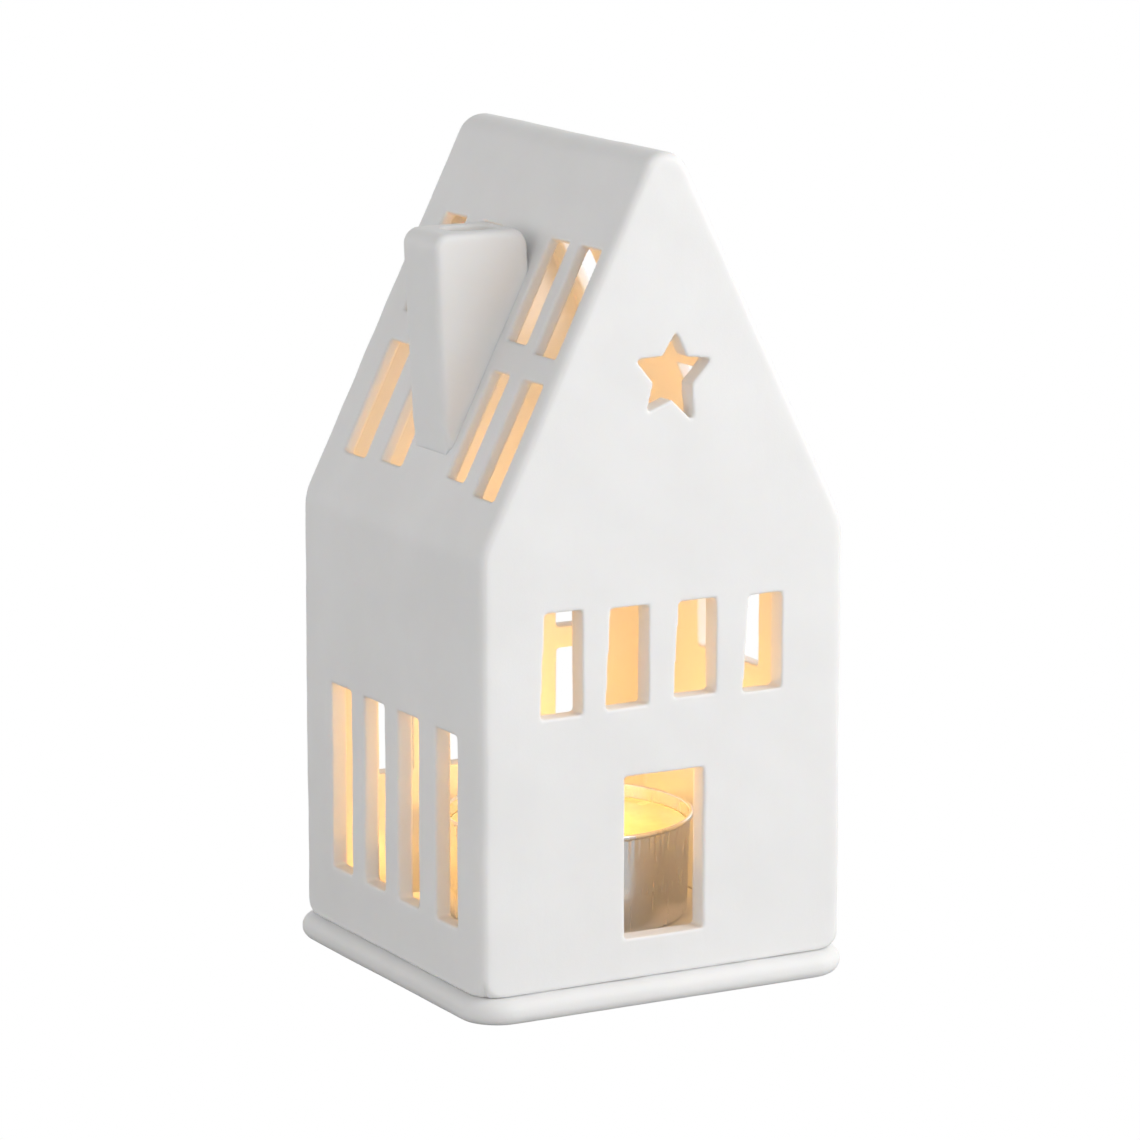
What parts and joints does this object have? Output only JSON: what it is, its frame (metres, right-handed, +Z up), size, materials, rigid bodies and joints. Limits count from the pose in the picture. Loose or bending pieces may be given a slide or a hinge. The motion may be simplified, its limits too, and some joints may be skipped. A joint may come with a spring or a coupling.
{
  "type": "tealight holder",
  "caption": "Porcelain tealight holder shaped as a tall gabled house with a chimney; the house lifts off a base plate that carries the tealight.",
  "frame": {"origin": "centre of the base plate's underside", "axes": "+Z up; the gable with the door faces -Y; the roof ridge runs along Y; the chimney is on the -X slope"},
  "size_m": [0.065, 0.0636, 0.127],
  "materials": {
    "porcelain": "matt white bisque porcelain, hand built, softly rounded edges",
    "cup_foil": "thin drawn aluminium, bright, with fine pleats under the rim",
    "wax": "warm white paraffin wax, satin",
    "tinplate": "thin stamped tinplate",
    "wick_cotton": "braided cotton, waxed, charred at the tip"
  },
  "bodies": {
    "base": {"base_plate": "porcelain"},
    "house": {"house_shell": "porcelain", "chimney": "porcelain"},
    "tealight": {"tealight_cup": "cup_foil", "wax": "wax", "wick_foot": "tinplate", "wick": "wick_cotton"}
  },
  "joints": [
    {"name": "house_lift", "type": "slide", "parent": "base", "child": "house", "axis": [0, 0, 1], "range_m": [0, 0.06]},
    {"name": "tealight_lift", "type": "slide", "parent": "base", "child": "tealight", "axis": [0, 0, 1], "range_m": [0, 0.03]}
  ]
}
